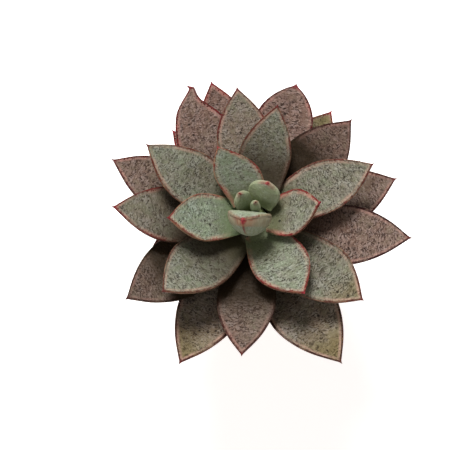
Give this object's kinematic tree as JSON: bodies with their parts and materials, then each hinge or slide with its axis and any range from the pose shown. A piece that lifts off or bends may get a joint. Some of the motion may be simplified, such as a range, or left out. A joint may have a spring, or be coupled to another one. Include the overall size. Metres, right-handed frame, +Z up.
{
  "type": "potted succulent",
  "caption": "Rosette succulent with thick pointed grey-green and mauve leaves on a short stem, growing in soil in a small plain clay pot.",
  "frame": {"origin": "the centre of the pot's underside, on the surface that the pot stands on", "axes": "+Z is up; -Y is the front, the side of the rosette that the camera looks down on; +X is to the right seen from the front"},
  "size_m": [0.1259, 0.1279, 0.1045],
  "materials": {
    "terracotta": "matte",
    "soil": "matte",
    "stem": "matte",
    "leaf_young": "satin",
    "leaf_grown": "satin",
    "leaf_old": "satin"
  },
  "bodies": {
    "root": {"pot": "terracotta", "soil": "soil", "stem": "stem", "leaf_01": "leaf_young", "leaf_02": "leaf_young", "leaf_03": "leaf_young", "leaf_04": "leaf_young", "leaf_05": "leaf_young", "leaf_06": "leaf_young", "leaf_07": "leaf_young", "leaf_08": "leaf_young", "leaf_09": "leaf_young", "leaf_10": "leaf_young", "leaf_11": "leaf_young", "leaf_12": "leaf_young", "leaf_13": "leaf_grown", "leaf_14": "leaf_grown", "leaf_15": "leaf_grown", "leaf_16": "leaf_grown", "leaf_17": "leaf_grown", "leaf_18": "leaf_grown", "leaf_19": "leaf_grown", "leaf_20": "leaf_grown", "leaf_21": "leaf_grown", "leaf_22": "leaf_grown", "leaf_23": "leaf_grown", "leaf_24": "leaf_grown", "leaf_25": "leaf_grown", "leaf_26": "leaf_grown", "leaf_27": "leaf_grown", "leaf_28": "leaf_grown", "leaf_29": "leaf_old", "leaf_30": "leaf_old", "leaf_31": "leaf_old", "leaf_32": "leaf_old"}
  },
  "joints": []
}
